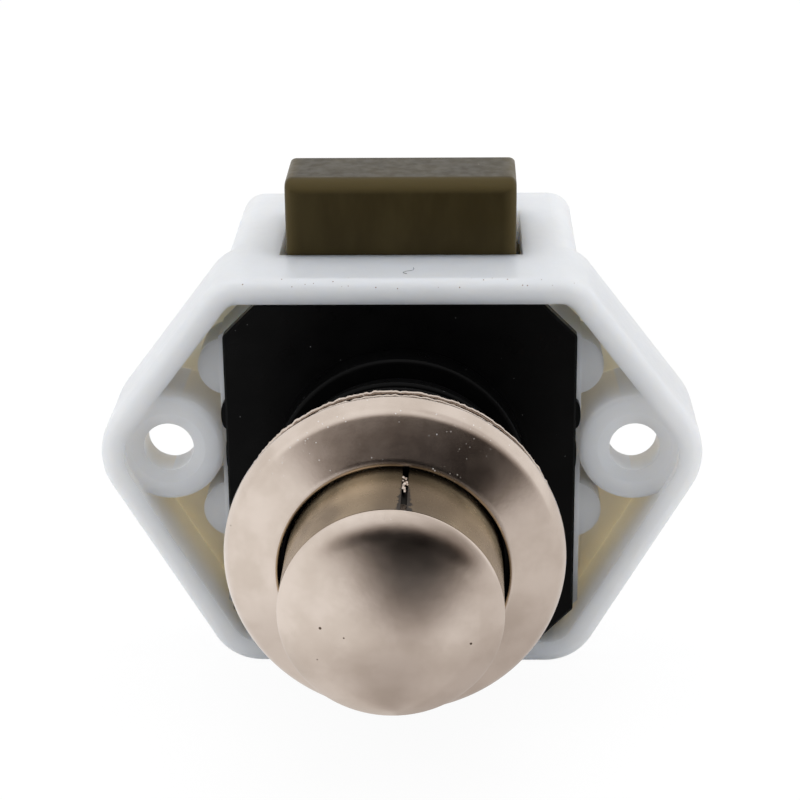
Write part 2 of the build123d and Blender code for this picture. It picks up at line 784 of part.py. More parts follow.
os.makedirs("parts", exist_ok=True)
for name, piece in pieces.items():
    export_step(piece, f"parts/{name}.step")
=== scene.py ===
import json
import math
import random

import bmesh
import bpy
from mathutils import Matrix, Vector, noise


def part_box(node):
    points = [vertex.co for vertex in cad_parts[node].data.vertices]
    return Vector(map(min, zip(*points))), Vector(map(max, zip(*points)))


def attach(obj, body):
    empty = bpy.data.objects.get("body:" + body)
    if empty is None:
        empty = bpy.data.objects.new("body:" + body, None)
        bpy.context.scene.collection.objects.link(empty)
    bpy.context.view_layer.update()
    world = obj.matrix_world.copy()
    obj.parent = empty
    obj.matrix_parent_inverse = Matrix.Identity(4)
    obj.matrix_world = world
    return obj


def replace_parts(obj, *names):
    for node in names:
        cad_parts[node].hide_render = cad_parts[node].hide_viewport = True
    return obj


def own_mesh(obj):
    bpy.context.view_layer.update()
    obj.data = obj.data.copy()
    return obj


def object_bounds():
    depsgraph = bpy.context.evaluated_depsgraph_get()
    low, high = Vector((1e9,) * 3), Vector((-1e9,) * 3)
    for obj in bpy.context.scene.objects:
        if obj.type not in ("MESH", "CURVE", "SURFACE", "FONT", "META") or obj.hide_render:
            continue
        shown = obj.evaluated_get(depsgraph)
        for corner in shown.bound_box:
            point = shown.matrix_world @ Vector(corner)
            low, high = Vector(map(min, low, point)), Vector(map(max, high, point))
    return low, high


# Push button cabinet lock in its frame: metres, knob towards -Y, bolt towards +Z.
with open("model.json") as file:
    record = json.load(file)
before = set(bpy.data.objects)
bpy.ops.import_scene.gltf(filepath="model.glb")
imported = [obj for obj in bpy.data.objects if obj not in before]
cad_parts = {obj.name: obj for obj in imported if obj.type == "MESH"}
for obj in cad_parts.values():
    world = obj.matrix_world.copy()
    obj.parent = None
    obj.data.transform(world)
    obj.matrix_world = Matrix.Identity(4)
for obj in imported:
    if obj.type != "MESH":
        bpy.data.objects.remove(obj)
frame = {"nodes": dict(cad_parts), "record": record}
cad_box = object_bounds()
nodes = frame["nodes"]
slots = {part["node"]: part["material_slot"] for part in frame["record"]["subparts"]}
MM = 0.001

# Camera, solved from the photograph: its lens in pixels of a square picture
PHOTO_SIDE = 800.0
PHOTO_FOCAL = 2199.0
SENSOR = 36.0
CLIP_NEAR, CLIP_FAR = 0.01, 20
CAMERA_PLACE = Vector((5.31, -168.78, 70.49)) * MM
CAMERA_AZIMUTH = math.radians(1.80)
CAMERA_ELEVATION = math.radians(20.86)
CAMERA_ROLL = math.radians(-0.69)

# Colours
WHITE = (0.80, 0.815, 0.84)
WHITE_SHADE = (0.74, 0.75, 0.77)
# Painted light in the housing's pockets: a warm painted shade low down, a painted light higher up
POCKET_PAINTED_SHADE = (0.82, 0.75, 0.64)
POCKET_PAINTED_LIGHT = (0.95, 0.90, 0.80)
RIM_DIRT = (0.20, 0.10, 0.05)
BLACK = (0.0020, 0.0020, 0.0021)
BLACK_DUST = (0.0055, 0.0055, 0.0058)
COVER_SPECK = (0.16, 0.16, 0.16)
NICKEL = (0.69, 0.595, 0.525)
NICKEL_SHADE = (0.60, 0.51, 0.44)
NICKEL_PIT = (0.10, 0.07, 0.05)
DUST = (0.85, 0.82, 0.78)
SLEEVE = (0.56, 0.44, 0.29)
# Darker sleeve tone: used for the random streaks, and as painted shade beside the seam and by the head
SLEEVE_STREAK_AND_PAINTED_SHADE = (0.11, 0.078, 0.045)
TEAR = (0.008, 0.006, 0.005)
OLIVE = (0.033, 0.0235, 0.0075)
OLIVE_LIGHT = (0.046, 0.034, 0.012)
# Painted highlight for the bolt's sides and top front edge
OLIVE_PAINTED_HIGHLIGHT = (0.080, 0.060, 0.024)
OLIVE_SPECK = (0.3, 0.28, 0.2)
STEEL = (0.55, 0.55, 0.56)
STEEL_SHADE = (0.38, 0.38, 0.39)
ACETAL = (0.66, 0.66, 0.62)
ACETAL_SHADE = (0.58, 0.58, 0.54)

# Noises: size of the blobs in millimetres, detail, roughness
HOUSING_CLOUDS = (6.0, 4.0)
COVER_DUST = (0.25, 6.0, 0.75)
NICKEL_CLOUDS = (3.5, 4.0)
DUST_PATCHES = (2.2, 2.0)
NICKEL_GRAIN = (0.09, 3.0, 0.7)
NICKEL_MOTTLE = (0.9, 3.0, 0.6)
SLEEVE_STREAKS = (4.0, 2.0, 0.5)
TEAR_EDGE_NOISE = (0.5, 4.0, 0.7)
STEEL_CLOUDS = (0.8, 5.0)
SPRING_CLOUDS = (0.6, 5.0)
ACETAL_CLOUDS = (2.0, 4.0)
BOLT_STREAKS = (2.2, 4.0, 0.55)
FLOOR_CLOUDS = (30.0,)
SLEEVE_STRETCH = (1, 0.45, 1)
BOLT_STRETCH = (1, 1, 0.35)

# Specks: how far apart and how large they are, in millimetres
RIM_SPECKS = (0.55, 0.045)
COVER_SPECKS = (1.1, 0.035)
NICKEL_PITS = (4.3, 0.05)
DUST_SPECKS = (0.42, 0.040)
BOLT_SPECKS = (2.4, 0.05)
SPECK_SOFTNESS, PIT_SOFTNESS = 1.4, 1.5
# The pits of the knob's face: x, z and size in millimetres
KNOB_PITS = ((-4.98, -0.31, 0.085), (5.75, -1.63, 0.075), (-3.29, -0.94, 0.05), (-5.26, -2.94, 0.04))

# Fades by noise: a noise value and its share, at the start and at the end
COVER_DUST_FADE = (0.62, 0.0), (0.85, 1.0)
NICKEL_CLOUD_FADE = (0.35, 0.0), (0.7, 1.0)
DUST_PATCH_FADE = (0.45, 0.0), (0.6, 1.0)
SLEEVE_STREAK_FADE = (0.40, 0.0), (0.60, 1.0)
BOLT_STREAK_FADE = (0.3, 0.0), (0.75, 1.0)
SLEEVE_STREAK_SHARE = 0.6

# Fades by place: a place in millimetres and its share, at the start and at the end
# Where the pockets' painted shade and painted light lie: depth, end of the flange, inward faces, height
POCKET_DEPTH = (0.4, 0.0), (5.0, 1.0)
FLANGE_END = (7.5, 1.0), (8.5, 0.0)
FACES_INWARD = (0.4, 1.0), (1.6, 0.0)
POCKET_CLIMB = (3.0, 0.0), (11.0, 1.0)
RIM_TOP = (15.6, 0.0), (15.8, 1.0)
RIM_FRONT = (0.6, 1.0), (1.0, 0.0)
DUSTY_TOP = (6.5, 0.0), (9.0, 1.0)
# Painted shade on the sleeve: beside the seam along its top, and towards the head
PAINTED_SHADE_BESIDE_SEAM = (0.6, 0.75), (3.4, 0.0)
PAINTED_SHADE_BY_HEAD = (-25.0, 0.55), (-21.5, 0.0)
TEAR_WIDTH = (-26.5, 0.50 * MM), (-21.5, 0.16 * MM)
TEAR_EDGE = (0.0, 1.0), (0.05, 0.0)
UPPER_HALF = (0.0, 0.0), (1.0, 1.0)
# Where the bolt's painted highlight lies: its sides, and its top front edge
BOLT_SIDE_HIGHLIGHT = (8.3, 0.0), (9.6, 1.0)
BOLT_CREST_HIGHLIGHT = (21.5, 0.0), (22.1, 1.0)
BOLT_FRONT = (7.9, 1.0), (8.7, 0.0)
SEAM_PAINTED_SHADE_MIDDLE = 0.8 * MM
SEAM_ANGLE = math.radians(7.0)
TEAR_RAGGED = 0.9 * MM

# Shine: size and detail of the noise that moves it, lowest and highest roughness
SHINE = {
    "housing_plastic": (0.8, 5.0, 0.30, 0.42),
    "cover_plastic": (2.5, 5.0, 0.26, 0.42),
    "satin_nickel": (1.4, 6.0, 0.22, 0.26),
    "sleeve_nickel": (0.7, 4.0, 0.22, 0.28),
    "steel": (0.5, 5.0, 0.25, 0.40),
    "spring_steel": (0.3, 5.0, 0.20, 0.36),
    "plunger_plastic": (0.7, 4.0, 0.36, 0.50),
    "bolt_plastic": (0.9, 5.0, 0.28, 0.40),
}
SHINE_FROM, SHINE_TO = 0.3, 0.7
# Relief: size and detail of its noise, depth in millimetres, strength
RELIEF = {
    "housing_plastic": (1.6, 4.0, 0.02, 0.6),
    "cover_plastic": (0.6, 4.0, 0.01, 0.5),
    "sleeve_nickel": (2.5, 2.0, 0.02, 0.3),
    "steel": (0.2, 4.0, 0.004, 0.6),
    "spring_steel": (0.1, 3.0, 0.003, 0.6),
    "plunger_plastic": (0.5, 3.0, 0.008, 0.5),
    "bolt_plastic": (1.2, 4.0, 0.006, 0.5),
}
GRAIN_DEPTH, GRAIN_STRENGTH = 0.002, 0.4
MOTTLE_DEPTH, MOTTLE_STRENGTH = 0.012, 0.5
METALLIC = {"satin_nickel": 1.0, "sleeve_nickel": 0.6, "steel": 1.0, "spring_steel": 1.0}
GLOSS = {"cover_plastic": 0.07, "bolt_plastic": 0.09}
# Light inside a plastic: weight, reach of each colour, scale in millimetres
INNER_LIGHT = {
    "housing_plastic": (1.0, (1.0, 0.92, 0.80), 6.0),
    "plunger_plastic": (0.2, (1.0, 0.2, 0.1), 0.8),
    "bolt_plastic": (0.15, (1.0, 0.8, 0.4), 0.8),
}
HOUSING_IOR = 1.48

# The studio that the metal mirrors: directions from the knob in radians, to the right and up
KNOB_PLACE = Vector((0, -25.0, 0)) * MM
DARK_AZIMUTH, DARK_ELEVATION = 0.14, 0.24
DARK_NARROW, DARK_WIDE = 0.40, 0.90
DARK_UP, DARK_DOWN = 0.52, 0.66
RIGHT_WIDENS = (-0.10, DARK_NARROW), (0.25, DARK_WIDE)
LEFT_WIDENS = (-0.05, -DARK_NARROW), (0.5, -DARK_WIDE)
DARK_FADE = (0.52, 0.01), (1.5, 1.05)
DARK_POWER = 1.3
RIGHT_FADE = (0.45, 1.0), (0.75, 0.72)
LOW_FADE = (-0.78, 1.0), (-0.42, 0.0)
AHEAD_FADE = (0.0, 0.48), (0.9, 0.78)
GREEN_POWER, BLUE_POWER = 1.10, 1.17
SKY_RADIUS = 0.32
SKY_LOW, SKY_HIGH, SKY_HALF = -4, 76, 80
SKY_STEPS_ACROSS, SKY_STEPS_UP = 48, 24
FLOOR_SIDE = 3.0
FLOOR_WHITE, FLOOR_SHADE = 0.97, 0.95
FLOOR_GLOW = 1.03
FLOOR_SHARE = 0.9
WORLD_LEVEL = 0.46
WORLD_COLOR = (0.96, 0.98, 1.0, 1)
# Lamps: name, place, width, height and power
SOFTBOXES = (
    ("box_top", (0, 0.10, 0.60), 0.6, 0.4, 1.5),
    ("box_left", (-0.50, -0.25, 0.22), 0.60, 0.70, 1.35),
    ("box_right", (0.55, -0.10, 0.22), 0.45, 0.60, 1.25),
)

# Pieces, in millimetres. Outlines are pairs of radius and depth.
SHARP_ANGLE = math.radians(35)
TURN_STEPS = 224
BEND_STEPS = 14
AXIS_REACH = 1e-6

THREAD_ROOT = 9.52
THREAD_START = -4.9
THREAD_TO_RING = 0.75
THREAD_PITCH = 1.25
THREAD_HEIGHT, THREAD_LOWEST_SHARE = 0.42, 0.06
THREAD_LAND = 0.04
THREAD_HALF_FOOT, THREAD_HALF_CREST = 0.42, 0.14
THREAD_STEPS = 96
THREAD_END_TURNS = 0.35

# Folds of the rosette's edge: radius, depth, thickness and seed
FOLDS = {"crimp_front": (12.40, -15.62, 0.12, 0.3), "crimp_back": (12.50, -15.08, 0.16, 2.9)}
FOLD_STEPS, FOLD_SIDES = 480, 8
RIPPLE_WAVES, CRINKLE_WAVES, CRINKLE_SEED = 7, 40, 4.7
RIPPLE_OUT, CRINKLE_OUT = 0.02, 0.03
RIPPLE_BACK, CRINKLE_BACK = 0.04, 0.06
CRINKLE_SWELL = 0.4

HEAD_FRONT = -29.2
DOME_RADIUS, DOME_HEIGHT = 7.55, 1.3
DOME_END, DOME_STEPS = 6.3, 24
HEAD_SHOULDER = (((7.02, -28.094), (7.62, -27.625)), ((8.20, -27.17), (8.20, -27.05)))
HEAD_BACK = ((8.12, -27.0), (7.85, -27.0), (7.85, -25.2), (7.45, -25.2), (7.45, -27.0), (6.8, -27.7))
HOLLOW_HEIGHT, HOLLOW_STEPS = 1.1, 12

ROSETTE_LIP = ((8.66, -20.12), (8.66, -20.30), (8.86, -20.30), 6)
ROSETTE_FACE_START = (9.1, -20.26)
ROSETTE_TURNS = (
    ((10.4, -19.65), (12.0, -18.84), 14),
    ((12.48, -18.60), (12.72, -18.13), 14),
    ((12.96, -17.66), (12.98, -17.40), 8),
    ((13.03, -17.15), (12.88, -16.98), 6),
)
ROSETTE_BACK = (
    (12.6, -16.90), (12.2, -16.86), (12.2, -15.0), (10.85, -15.0), (10.85, -15.45), (11.8, -15.45),
    (11.8, -17.0), (12.5, -17.1), (12.0, -18.1), (11.5, -18.55), (9.1, -19.75), (8.66, -19.85),
)

HEM_STEPS, HEM_HALF_ANGLE = 90, math.radians(84)
HEM_ROOT, HEM_EDGE, HEM_WIDTH = 8.70, 8.64, 0.26
HEM_ROOT_FRONT, HEM_EDGE_FRONT, HEM_EDGE_BACK, HEM_ROOT_BACK = -20.02, -19.62, -19.50, -19.72

HAIR_ROUTE = (
    (0.62, 1.95), (0.42, 2.05), (0.30, 2.35), (0.62, 2.62), (1.05, 2.80), (1.18, 3.15), (1.12, 3.55),
)
HAIR_HEIGHT, HAIR_HALF = 16.405, 0.022
HAIR_RINGS, HAIR_SIDES = 24, 6

CRUMB_COUNT, CRUMB_SEED = 14, 7
CRUMB_REACH = 8.12
CRUMB_FIRST, CRUMB_STEP, CRUMB_STRAY = -20.9, 0.19, 0.2
CRUMB_LEFT, CRUMB_RIGHT = -0.20, 0.28
CRUMB_SMALL, CRUMB_LARGE = 0.08, 0.17
CRUMB_ROUGH, CRUMB_WAVES, CRUMB_STRETCH = 0.45, 9000, 1.7

# Springs: radius of the coil, radius of the wire and number of turns
PLUNGER_COIL = (4.98, 0.4, 8)
BOLT_COIL = (1.42, 0.24, 9)
COIL_STEPS, WIRE_SIDES = 40, 10


def node_place(name):
    """Lowest and highest corner of a CAD node, in millimetres."""
    low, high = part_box(name)
    return low / MM, high / MM


def make_camera():
    a, e, r = CAMERA_AZIMUTH, CAMERA_ELEVATION, CAMERA_ROLL
    forward = Vector((-math.sin(a) * math.cos(e), math.cos(a) * math.cos(e), -math.sin(e)))
    right = Vector((math.cos(a), math.sin(a), 0))
    up = right.cross(forward)
    right_rolled = right * math.cos(r) + up * math.sin(r)
    up_rolled = up * math.cos(r) - right * math.sin(r)
    turn = Matrix((right_rolled, up_rolled, -forward)).transposed()
    data = bpy.data.cameras.new("camera")
    data.sensor_width = SENSOR
    data.lens = SENSOR * PHOTO_FOCAL / PHOTO_SIDE
    data.clip_start = CLIP_NEAR
    data.clip_end = CLIP_FAR
    camera = bpy.data.objects.new("camera", data)
    camera.matrix_world = Matrix.Translation(CAMERA_PLACE) @ turn.to_4x4()
    bpy.context.scene.collection.objects.link(camera)
    bpy.context.scene.camera = camera


class Shader:
    """A material with its node tree and a few short ways to add to it."""

    def __init__(self, name):
        self.name = name
        self.material = bpy.data.materials.new(name)
        self.material.use_nodes = True
        self.tree = self.material.node_tree
        self.nodes = self.tree.nodes
        self.bsdf = self.nodes["Principled BSDF"]
        self.place = self.add("ShaderNodeTexCoord").outputs["Object"]

    def add(self, kind, **settings):
        node = self.nodes.new(kind)
        for name, value in settings.items():
            setattr(node, name, value)
        return node

    def link(self, output, socket):
        self.tree.links.new(output, socket)

    def feed(self, socket, value):
        """Sets a socket to a number or colour, or links it to an output."""
        if isinstance(value, bpy.types.NodeSocket):
            self.link(value, socket)
        elif isinstance(value, (tuple, list)) and socket.type == "RGBA":
            socket.default_value = (*value[:3], 1)
        else:
            socket.default_value = value

    def noise(self, size, detail=3.0, roughness=0.5, stretch=(1, 1, 1)):
        """Noise whose blobs are about size millimetres wide."""
        mapping = self.add("ShaderNodeMapping")
        mapping.inputs["Scale"].default_value = stretch
        self.link(self.place, mapping.inputs["Vector"])
        texture = self.add("ShaderNodeTexNoise")
        self.link(mapping.outputs[0], texture.inputs["Vector"])
        texture.inputs["Scale"].default_value = 1 / (size * MM)
        texture.inputs["Detail"].default_value = detail
        texture.inputs["Roughness"].default_value = roughness
        return texture.outputs["Fac"]

    def specks(self, spacing, size):
        """1 inside small round specks that lie about spacing millimetres apart."""
        texture = self.add("ShaderNodeTexVoronoi")
        self.link(self.place, texture.inputs["Vector"])
        texture.inputs["Scale"].default_value = 1 / (spacing * MM)
        edge = size / spacing
        return self.ramp(texture.outputs["Distance"], (edge, 1.0), (SPECK_SOFTNESS * edge, 0.0))

    def front_place(self):
        """The place with its depth left out."""
        flat = self.add("ShaderNodeVectorMath", operation="MULTIPLY")
        flat.inputs[1].default_value = (1, 0, 1)
        self.link(self.place, flat.inputs[0])
        return flat.outputs[0]

    def pit(self, x, z, size):
        """1 inside one small pit of the knob's face, at x and z in millimetres."""
        gap = self.add("ShaderNodeVectorMath", operation="DISTANCE")
        self.link(self.front_place(), gap.inputs[0])
        gap.inputs[1].default_value = (x * MM, 0, z * MM)
        return self.ramp(gap.outputs["Value"], (size, 1.0), (PIT_SOFTNESS * size, 0.0), MM)

    def ramp(self, value, low, high, unit=1.0):
        """A smooth step from one (place, value) to another, with the places in the given unit."""
        step = self.add("ShaderNodeMapRange", interpolation_type="SMOOTHSTEP")
        self.link(value, step.inputs["Value"])
        step.inputs["From Min"].default_value = low[0] * unit
        step.inputs["From Max"].default_value = high[0] * unit
        step.inputs["To Min"].default_value = low[1]
        step.inputs["To Max"].default_value = high[1]
        return step.outputs[0]

    def along(self, axis):
        """One coordinate of the place, in metres."""
        split = self.add("ShaderNodeSeparateXYZ")
        self.link(self.place, split.inputs[0])
        return split.outputs[axis]

    def outward(self):
        """How far from the neck's axis the surface lies, counted along its own direction."""
        dot = self.add("ShaderNodeVectorMath", operation="DOT_PRODUCT")
        self.link(self.front_place(), dot.inputs[0])
        self.link(self.add("ShaderNodeNewGeometry").outputs["Normal"], dot.inputs[1])
        return dot.outputs["Value"]

    def math(self, operation, first, second=0.0):
        node = self.add("ShaderNodeMath", operation=operation)
        self.feed(node.inputs[0], first)
        self.feed(node.inputs[1], second)
        return node.outputs[0]

    def mix(self, share, first, second):
        """Colour first where share is 0, second where it is 1."""
        node = self.add("ShaderNodeMix", data_type="RGBA")
        self.feed(node.inputs[0], share)
        self.feed(node.inputs[6], first)
        self.feed(node.inputs[7], second)
        return node.outputs[2]

    def bump(self, height, depth, strength):
        """Bump of depth millimetres."""
        node = self.add("ShaderNodeBump")
        node.inputs["Strength"].default_value = strength
        node.inputs["Distance"].default_value = depth * MM
        self.link(height, node.inputs["Height"])
        return node

    def finish(self, color, relief=None):
        """Gives the material its colour, and what the tables say of it."""
        size, detail, low, high = SHINE[self.name]
        shine = self.ramp(self.noise(size, detail), (SHINE_FROM, low), (SHINE_TO, high))
        if relief is None:
            size, detail, depth, strength = RELIEF[self.name]
            relief = self.bump(self.noise(size, detail), depth, strength)
        self.feed(self.bsdf.inputs["Base Color"], color)
        self.feed(self.bsdf.inputs["Roughness"], shine)
        self.link(relief.outputs[0], self.bsdf.inputs["Normal"])
        self.bsdf.inputs["Metallic"].default_value = METALLIC.get(self.name, 0.0)
        if self.name in GLOSS:
            self.bsdf.inputs["Specular IOR Level"].default_value = GLOSS[self.name]
        if self.name in INNER_LIGHT:
            weight, reach, scale = INNER_LIGHT[self.name]
            self.bsdf.inputs["Subsurface Weight"].default_value = weight
            self.bsdf.inputs["Subsurface Radius"].default_value = reach
            self.bsdf.inputs["Subsurface Scale"].default_value = scale * MM
        return self.material


def housing_plastic():
    """White moulded plastic that lets light through, with a warm painted shade deep in its pockets that turns
    to a painted light higher up, and a little dirt on its rim.
    """
    s = Shader("housing_plastic")
    base = s.mix(s.noise(*HOUSING_CLOUDS), WHITE, WHITE_SHADE)
    # Painted shade and painted light in the pockets, standing in for light that comes through the plastic
    deep = s.ramp(s.along("Y"), *POCKET_DEPTH, MM)
    in_flange = s.ramp(s.along("Y"), *FLANGE_END, MM)
    inward = s.ramp(s.outward(), *FACES_INWARD, MM)
    pocket = s.math("MULTIPLY", s.math("MULTIPLY", deep, in_flange), inward)
    painted_pocket_tone = s.mix(s.ramp(s.along("Z"), *POCKET_CLIMB, MM), POCKET_PAINTED_SHADE, POCKET_PAINTED_LIGHT)
    color = s.mix(pocket, base, painted_pocket_tone)
    on_top = s.ramp(s.along("Z"), *RIM_TOP, MM)
    on_edge = s.math("MULTIPLY", on_top, s.ramp(s.along("Y"), *RIM_FRONT, MM))
    dirt = s.math("MULTIPLY", s.specks(*RIM_SPECKS), on_edge)
    s.bsdf.inputs["IOR"].default_value = HOUSING_IOR
    return s.finish(s.mix(dirt, color, RIM_DIRT))


def cover_plastic():
    """Black moulded plastic with a faint gloss and a little dust."""
    s = Shader("cover_plastic")
    dust = s.ramp(s.noise(*COVER_DUST), *COVER_DUST_FADE)
    return s.finish(s.mix(s.specks(*COVER_SPECKS), s.mix(dust, BLACK, BLACK_DUST), COVER_SPECK))


def satin_nickel():
    """Satin nickel plate with a fine grain, faint clouds, small pits and dust on its upper part."""
    s = Shader("satin_nickel")
    clouds = s.ramp(s.noise(*NICKEL_CLOUDS), *NICKEL_CLOUD_FADE)
    color = s.mix(clouds, NICKEL, NICKEL_SHADE)
    pits = s.specks(*NICKEL_PITS)
    for pit in KNOB_PITS:
        pits = s.math("MAXIMUM", pits, s.pit(*pit))
    color = s.mix(pits, color, NICKEL_PIT)
    dusty = s.ramp(s.along("Z"), *DUSTY_TOP, MM)
    patches = s.ramp(s.noise(*DUST_PATCHES), *DUST_PATCH_FADE)
    dust = s.math("MULTIPLY", s.math("MULTIPLY", s.specks(*DUST_SPECKS), dusty), patches)
    s.link(s.math("SUBTRACT", 1.0, dust), s.bsdf.inputs["Metallic"])
    grain = s.bump(s.noise(*NICKEL_GRAIN), GRAIN_DEPTH, GRAIN_STRENGTH)
    mottle = s.bump(s.noise(*NICKEL_MOTTLE), MOTTLE_DEPTH, MOTTLE_STRENGTH)
    s.link(grain.outputs[0], mottle.inputs["Normal"])
    return s.finish(s.mix(dust, color, DUST), mottle)


def sleeve_nickel():
    """Bright nickel on rolled sheet, with soft streaks, painted shade beside the seam and towards the head,
    and a torn dark seam.
    """
    s = Shader("sleeve_nickel")
    streaks = s.ramp(s.noise(*SLEEVE_STREAKS, SLEEVE_STRETCH), *SLEEVE_STREAK_FADE)
    color = s.mix(s.math("MULTIPLY", streaks, SLEEVE_STREAK_SHARE), SLEEVE, SLEEVE_STREAK_AND_PAINTED_SHADE)
    # Painted shade: darker beside the seam along the sleeve's top, and darker towards the head
    off_seam = s.math("ABSOLUTE", s.math("SUBTRACT", s.along("X"), SEAM_PAINTED_SHADE_MIDDLE))
    color = s.mix(s.ramp(off_seam, *PAINTED_SHADE_BESIDE_SEAM, MM), color, SLEEVE_STREAK_AND_PAINTED_SHADE)
    color = s.mix(s.ramp(s.along("Y"), *PAINTED_SHADE_BY_HEAD, MM), color, SLEEVE_STREAK_AND_PAINTED_SHADE)
    across = s.math("MULTIPLY", s.along("X"), math.cos(SEAM_ANGLE))
    across = s.math("SUBTRACT", across, s.math("MULTIPLY", s.along("Z"), math.sin(SEAM_ANGLE)))
    ragged = s.math("MULTIPLY", s.math("SUBTRACT", s.noise(*TEAR_EDGE_NOISE), 0.5), TEAR_RAGGED)
    off_middle = s.math("ABSOLUTE", s.math("ADD", across, ragged))
    beside = s.math("SUBTRACT", off_middle, s.ramp(s.along("Y"), *TEAR_WIDTH, MM))
    torn = s.math("MULTIPLY", s.ramp(beside, *TEAR_EDGE, MM), s.ramp(s.along("Z"), *UPPER_HALF, MM))
    return s.finish(s.mix(torn, color, TEAR))


def steel():
    """Bright zinc-plated steel, faintly clouded."""
    s = Shader("steel")
    return s.finish(s.mix(s.noise(*STEEL_CLOUDS), STEEL, STEEL_SHADE))


def spring_steel():
    """Drawn spring wire and strip, darker than the plated steel."""
    s = Shader("spring_steel")
    return s.finish(s.mix(s.noise(*SPRING_CLOUDS), STEEL_SHADE, STEEL))


def plunger_plastic():
    """Natural acetal, slightly clouded."""
    s = Shader("plunger_plastic")
    return s.finish(s.mix(s.noise(*ACETAL_CLOUDS), ACETAL, ACETAL_SHADE))


def bolt_plastic():
    """Olive-brown nylon with soft upright flow streaks, a painted highlight on its sides and its top front
    edge, and small specks.
    """
    s = Shader("bolt_plastic")
    streaks = s.ramp(s.noise(*BOLT_STREAKS, BOLT_STRETCH), *BOLT_STREAK_FADE)
    color = s.mix(streaks, OLIVE, OLIVE_LIGHT)
    # Painted highlight: lighter sides and a lighter top front edge, standing in for light on the rounded
    # edges
    side = s.ramp(s.math("ABSOLUTE", s.along("X")), *BOLT_SIDE_HIGHLIGHT, MM)
    climb = s.ramp(s.along("Z"), *BOLT_CREST_HIGHLIGHT, MM)
    crest = s.math("MULTIPLY", climb, s.ramp(s.along("Y"), *BOLT_FRONT, MM))
    color = s.mix(s.math("MAXIMUM", side, crest), color, OLIVE_PAINTED_HIGHLIGHT)
    return s.finish(s.mix(s.specks(*BOLT_SPECKS), color, OLIVE_SPECK))


def surround(s, standing):
    """How bright the studio looks from the knob: a soft dark area in front, dimmer close to the lock."""
    away = s.add("ShaderNodeVectorMath", operation="SUBTRACT")
    s.link(s.place, away.inputs[0])
    away.inputs[1].default_value = standing
    way = s.add("ShaderNodeVectorMath", operation="NORMALIZE")
    s.link(away.outputs[0], way.inputs[0])
    split = s.add("ShaderNodeSeparateXYZ")
    s.link(way.outputs[0], split.inputs[0])
    azimuth = s.math("ARCTAN2", split.outputs["X"], s.math("MULTIPLY", split.outputs["Y"], -1.0))
    elevation = s.math("ARCSINE", split.outputs["Z"])
    turn = s.math("SUBTRACT", azimuth, DARK_AZIMUTH)
    climb = s.math("SUBTRACT", elevation, DARK_ELEVATION)
    right_width = s.ramp(elevation, *RIGHT_WIDENS)
    left_width = s.ramp(elevation, *LEFT_WIDENS)
    u = s.math("MAXIMUM", s.math("DIVIDE", turn, right_width), s.math("DIVIDE", turn, left_width))
    w = s.math("MAXIMUM", s.math("DIVIDE", climb, DARK_UP), s.math("DIVIDE", climb, -DARK_DOWN))
    reach = s.math("SQRT", s.math("ADD", s.math("MULTIPLY", u, u), s.math("MULTIPLY", w, w)))
    level = s.math("POWER", s.ramp(reach, *DARK_FADE), DARK_POWER)
    right = s.ramp(azimuth, *RIGHT_FADE)
    low = s.ramp(elevation, *LOW_FADE)
    ahead = s.ramp(s.math("ABSOLUTE", azimuth), *AHEAD_FADE)
    dim = s.math("SUBTRACT", 1.0, s.math("MULTIPLY", low, s.math("SUBTRACT", 1.0, ahead)))
    level = s.math("MULTIPLY", s.math("MULTIPLY", level, right), dim)
    join = s.add("ShaderNodeCombineColor")
    s.link(level, join.inputs[0])
    s.link(s.math("POWER", level, GREEN_POWER), join.inputs[1])
    s.link(s.math("POWER", level, BLUE_POWER), join.inputs[2])
    return join.outputs[0]


def make_finishes():
    makers = (
        housing_plastic, cover_plastic, satin_nickel, sleeve_nickel,
        steel, spring_steel, plunger_plastic, bolt_plastic,
    )
    return {maker.__name__: maker() for maker in makers}


def dress(obj, slot):
    """Gives a piece the finish of one of the record's slots."""
    obj.data.materials.clear()
    obj.data.materials.append(finishes[slot])


def new_piece(name, mesh_maker, body, slot, smooth=True):
    """A piece built by mesh_maker in a bmesh, in metres in the shared frame."""
    bm = bmesh.new()
    mesh_maker(bm)
    bmesh.ops.recalc_face_normals(bm, faces=bm.faces)
    mesh = bpy.data.meshes.new(name)
    bm.to_mesh(mesh)
    bm.free()
    for polygon in mesh.polygons:
        polygon.use_smooth = smooth
    obj = bpy.data.objects.new(name, mesh)
    bpy.context.scene.collection.objects.link(obj)
    dress(obj, slot)
    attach(obj, body)
    return obj


def spoke(radius, y, angle):
    """The point at a radius and depth in millimetres, at an angle round the neck's axis from the top."""
    return Vector((radius * math.sin(angle), y, radius * math.cos(angle))) * MM


def steps_round(count):
    """Angles of count even steps round a circle."""
    return [2 * math.pi * i / count for i in range(count)]


def swept_rings(bm, rings, closed=False):
    """Joins rings of points into a tube, capped unless it closes on itself."""
    made = [[bm.verts.new(point) for point in ring] for ring in rings]
    count = len(made[0])
    following = made[1:] + made[:1] if closed else made[1:]
    for first, second in zip(made, following):
        for i in range(count):
            j = (i + 1) % count
            bm.faces.new((first[i], first[j], second[j], second[i]))
    if not closed:
        bm.faces.new(made[0])
        bm.faces.new(made[-1])


